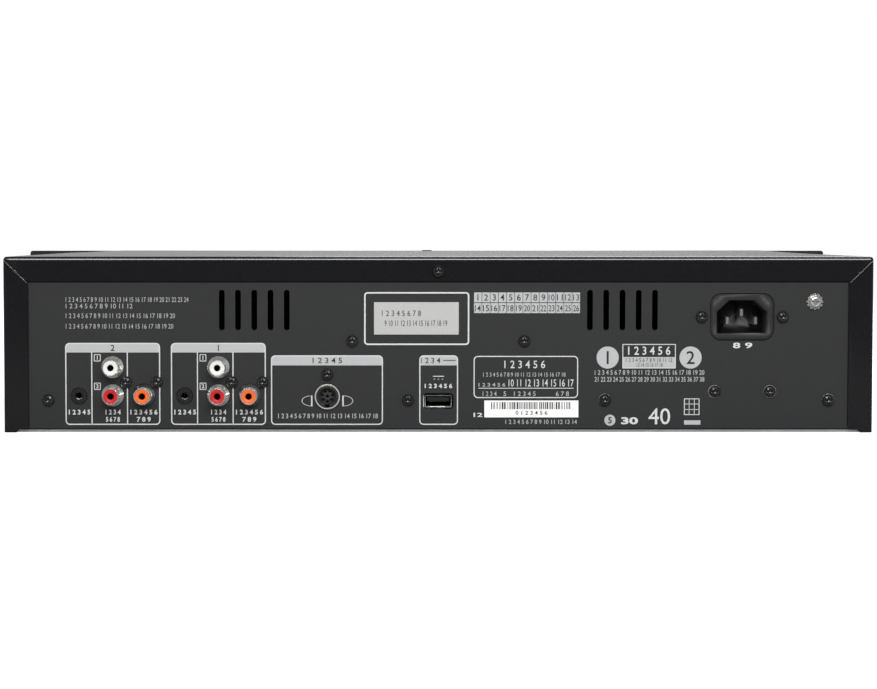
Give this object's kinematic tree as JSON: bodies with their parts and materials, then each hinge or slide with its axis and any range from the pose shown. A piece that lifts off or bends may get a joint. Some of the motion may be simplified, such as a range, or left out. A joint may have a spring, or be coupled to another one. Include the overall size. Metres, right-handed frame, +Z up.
{
  "type": "dual disc player drive unit",
  "caption": "Flat two-unit rack-mount disc player: twin motorised disc trays behind a wide eared panel, folded steel case and a rear panel of phono, data and mains sockets.",
  "frame": {"origin": "under the middle of the whole object, on the plane that it stands on", "axes": "+Z up; -Y towards the front with the trays; +X to the right as seen from the front"},
  "size_m": [0.482, 0.259, 0.0884],
  "materials": {
    "aluminium": "extruded",
    "belt_rubber": "moulded rubber",
    "black_paint": "satin black powder coat",
    "black_screw": "black oxide",
    "board_green": "green solder mask",
    "brass": "plated brass pin",
    "button_grey": "satin moulded",
    "can_black": "shrink sleeve",
    "chip_black": "moulded black",
    "core_steel": "varnished laminations",
    "frame_black": "moulded black",
    "gear_white": "natural acetal",
    "grey_paint": "dark grey paint with white print",
    "insert_orange": "moulded orange",
    "insert_red": "moulded red",
    "insert_white": "moulded white",
    "motor_steel": "plated can",
    "moulded_black": "moulded black",
    "nickel": "bright nickel plate",
    "panel_black": "brushed black anodised panel",
    "polished_steel": "ground rod",
    "sled_grey": "die cast and moulded",
    "tray_black": "fine moulded texture",
    "zinc_steel": "bare zinc plated sheet"
  },
  "bodies": {
    "case": {"chassis_pan": "zinc_steel", "rear_panel": "grey_paint", "top_cover": "black_paint", "front_panel": "panel_black", "main_board": "board_green", "board_chips": "chip_black", "power_board": "board_green", "board_standoffs": "brass", "transformer": "core_steel", "capacitors": "can_black", "heat_sink": "aluminium", "ac_inlet": "moulded_black", "ac_inlet_pins": "brass", "rca_jack_bodies": "moulded_black", "rca_shells": "nickel", "rca_inserts_white": "insert_white", "rca_inserts_red": "insert_red", "rca_inserts_orange": "insert_orange", "fader_jacks": "moulded_black", "remote_socket": "nickel", "usb_ports": "nickel", "case_screws": "black_screw", "ground_screw": "nickel", "power_switch": "moulded_black", "front_board": "board_green", "mechanism_brackets": "zinc_steel", "loading_motors": "motor_steel", "drive_belts": "belt_rubber", "loader_frame_1": "frame_black", "clamp_bridge_1": "zinc_steel", "loader_frame_2": "frame_black", "clamp_bridge_2": "zinc_steel"},
    "power_button": {"power_button": "button_grey"},
    "open_button_1": {"open_button_1": "button_grey"},
    "disc_tray_1": {"tray_1": "tray_black", "tray_door_1": "tray_black"},
    "drive_gear_1": {"drive_gear_1": "gear_white"},
    "pulley_gear_1": {"pulley_gear_1": "gear_white"},
    "motor_pulley_1": {"motor_pulley_1": "brass"},
    "disc_clamp_1": {"disc_clamp_1": "moulded_black"},
    "turntable_1": {"turntable_1": "aluminium"},
    "laser_sled_1": {"laser_sled_1": "sled_grey"},
    "lead_screw_1": {"lead_screw_1": "polished_steel"},
    "traverse_1": {"traverse_1": "zinc_steel", "guide_rods_1": "polished_steel", "traverse_motors_1": "motor_steel"},
    "open_button_2": {"open_button_2": "button_grey"},
    "disc_tray_2": {"tray_2": "tray_black", "tray_door_2": "tray_black"},
    "drive_gear_2": {"drive_gear_2": "gear_white"},
    "pulley_gear_2": {"pulley_gear_2": "gear_white"},
    "motor_pulley_2": {"motor_pulley_2": "brass"},
    "disc_clamp_2": {"disc_clamp_2": "moulded_black"},
    "turntable_2": {"turntable_2": "aluminium"},
    "laser_sled_2": {"laser_sled_2": "sled_grey"},
    "lead_screw_2": {"lead_screw_2": "polished_steel"},
    "traverse_2": {"traverse_2": "zinc_steel", "guide_rods_2": "polished_steel", "traverse_motors_2": "motor_steel"}
  },
  "joints": [
    {"name": "power_button_push", "type": "slide", "parent": "case", "child": "power_button", "axis": [0, 1, 0], "range_m": [0, 0.0018], "stiffness_N_per_m": 400},
    {"name": "open_button_1_push", "type": "slide", "parent": "case", "child": "open_button_1", "axis": [0, 1, 0], "range_m": [0, 0.0008], "stiffness_N_per_m": 500},
    {"name": "tray_1_slide", "type": "slide", "parent": "case", "child": "disc_tray_1", "axis": [0, -1, 0], "range_m": [0, 0.135]},
    {"name": "drive_gear_1_spin", "type": "hinge", "parent": "case", "child": "drive_gear_1", "pos_m": [-0.1579, -0.108, 0.0513], "axis": [0, 0, 1], "range_deg": [0, 646]},
    {"name": "pulley_gear_1_spin", "type": "hinge", "parent": "case", "child": "pulley_gear_1", "pos_m": [-0.1386, -0.108, 0.0475], "axis": [0, 0, 1], "range_deg": [-1076, 0]},
    {"name": "motor_pulley_1_spin", "type": "hinge", "parent": "case", "child": "motor_pulley_1", "pos_m": [-0.097, -0.108, 0.044], "axis": [0, 0, 1], "range_deg": [-4241, 0]},
    {"name": "traverse_1_lift", "type": "hinge", "parent": "case", "child": "traverse_1", "pos_m": [-0.115, 0.03, 0.045], "axis": [1, 0, 0], "range_deg": [0, 6]},
    {"name": "disc_1_spin", "type": "hinge", "parent": "traverse_1", "child": "turntable_1", "pos_m": [-0.115, -0.055, 0.0572], "axis": [0, 0, 1], "continuous": true},
    {"name": "clamp_1_spin", "type": "hinge", "parent": "case", "child": "disc_clamp_1", "pos_m": [-0.115, -0.055, 0.066], "axis": [0, 0, 1], "continuous": true},
    {"name": "laser_sled_1_slide", "type": "slide", "parent": "traverse_1", "child": "laser_sled_1", "axis": [0, 1, 0], "range_m": [0, 0.034]},
    {"name": "lead_screw_1_spin", "type": "hinge", "parent": "traverse_1", "child": "lead_screw_1", "pos_m": [-0.084, -0.02, 0.0465], "axis": [0, 1, 0], "range_deg": [0, 4082]},
    {"name": "open_button_2_push", "type": "slide", "parent": "case", "child": "open_button_2", "axis": [0, 1, 0], "range_m": [0, 0.0008], "stiffness_N_per_m": 500},
    {"name": "tray_2_slide", "type": "slide", "parent": "case", "child": "disc_tray_2", "axis": [0, -1, 0], "range_m": [0, 0.135]},
    {"name": "drive_gear_2_spin", "type": "hinge", "parent": "case", "child": "drive_gear_2", "pos_m": [0.0721, -0.108, 0.0513], "axis": [0, 0, 1], "range_deg": [0, 646]},
    {"name": "pulley_gear_2_spin", "type": "hinge", "parent": "case", "child": "pulley_gear_2", "pos_m": [0.0914, -0.108, 0.0475], "axis": [0, 0, 1], "range_deg": [-1076, 0]},
    {"name": "motor_pulley_2_spin", "type": "hinge", "parent": "case", "child": "motor_pulley_2", "pos_m": [0.133, -0.108, 0.044], "axis": [0, 0, 1], "range_deg": [-4241, 0]},
    {"name": "traverse_2_lift", "type": "hinge", "parent": "case", "child": "traverse_2", "pos_m": [0.115, 0.03, 0.045], "axis": [1, 0, 0], "range_deg": [0, 6]},
    {"name": "disc_2_spin", "type": "hinge", "parent": "traverse_2", "child": "turntable_2", "pos_m": [0.115, -0.055, 0.0572], "axis": [0, 0, 1], "continuous": true},
    {"name": "clamp_2_spin", "type": "hinge", "parent": "case", "child": "disc_clamp_2", "pos_m": [0.115, -0.055, 0.066], "axis": [0, 0, 1], "continuous": true},
    {"name": "laser_sled_2_slide", "type": "slide", "parent": "traverse_2", "child": "laser_sled_2", "axis": [0, 1, 0], "range_m": [0, 0.034]},
    {"name": "lead_screw_2_spin", "type": "hinge", "parent": "traverse_2", "child": "lead_screw_2", "pos_m": [0.146, -0.02, 0.0465], "axis": [0, 1, 0], "range_deg": [0, 4082]}
  ],
  "couplings": [
    {"joint": "drive_gear_1_spin", "follows": "tray_1_slide", "rad_per_m": 83.333},
    {"joint": "pulley_gear_1_spin", "follows": "tray_1_slide", "rad_per_m": -138.89},
    {"joint": "motor_pulley_1_spin", "follows": "tray_1_slide", "rad_per_m": -546.3},
    {"joint": "clamp_1_spin", "follows": "disc_1_spin", "ratio": 1},
    {"joint": "lead_screw_1_spin", "follows": "laser_sled_1_slide", "rad_per_m": 2094.4},
    {"joint": "drive_gear_2_spin", "follows": "tray_2_slide", "rad_per_m": 83.333},
    {"joint": "pulley_gear_2_spin", "follows": "tray_2_slide", "rad_per_m": -138.89},
    {"joint": "motor_pulley_2_spin", "follows": "tray_2_slide", "rad_per_m": -546.3},
    {"joint": "clamp_2_spin", "follows": "disc_2_spin", "ratio": 1},
    {"joint": "lead_screw_2_spin", "follows": "laser_sled_2_slide", "rad_per_m": 2094.4}
  ]
}
